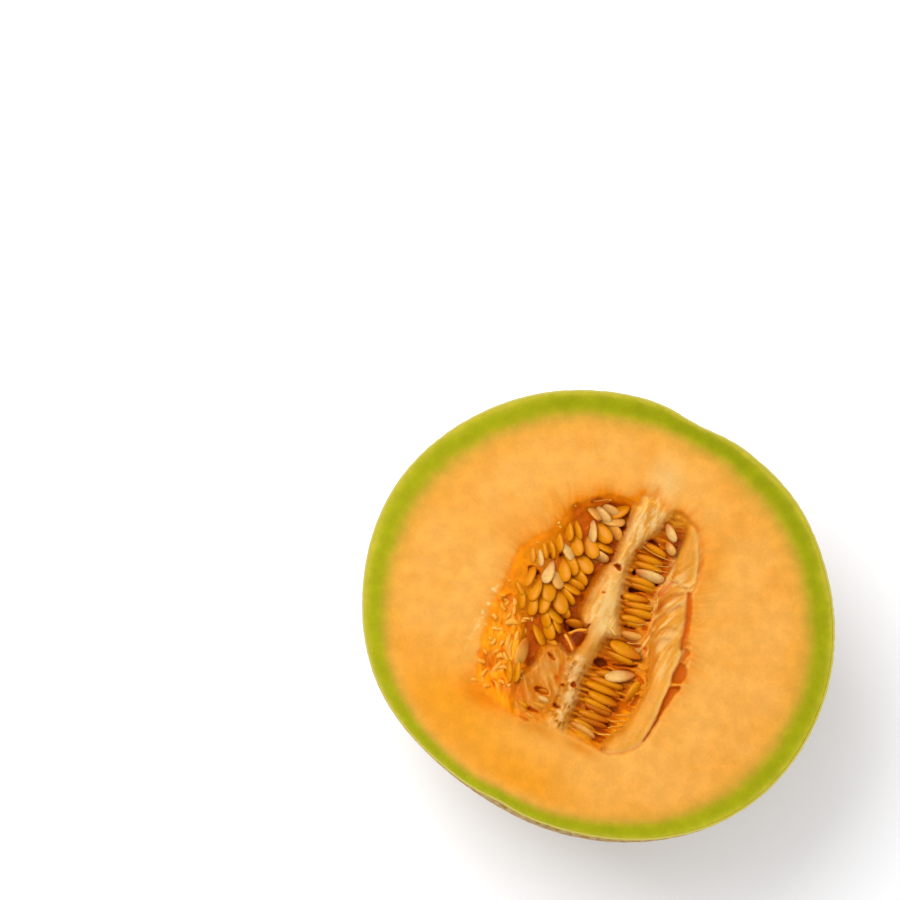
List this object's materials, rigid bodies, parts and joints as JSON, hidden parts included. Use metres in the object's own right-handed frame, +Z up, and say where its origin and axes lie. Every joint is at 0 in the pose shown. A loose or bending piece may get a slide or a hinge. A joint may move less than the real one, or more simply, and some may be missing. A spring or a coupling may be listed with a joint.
{
  "type": "muskmelon half",
  "caption": "Netted muskmelon cut in half lengthwise: thin netted rind, green rim, orange flesh and a cavity of seeds beside a pale band, resting on its rounded back",
  "frame": {"origin": "middle of the small flat spot under the rounded back, where the half rests", "axes": "+Z is up and square to the cut face, +Y runs along the cut face to the stem end, +X across the fruit"},
  "size_m": [0.1492, 0.1376, 0.0737],
  "materials": {
    "flesh": "moist orange melon flesh with a green rim",
    "seed": "wet tan seed coat",
    "rind": "dry corky beige net on golden rind",
    "pulp": "wet orange fibres and skins"
  },
  "bodies": {
    "root": {"melon_half": "flesh", "seeds_left": "seed", "seeds_right": "seed"}
  },
  "joints": []
}
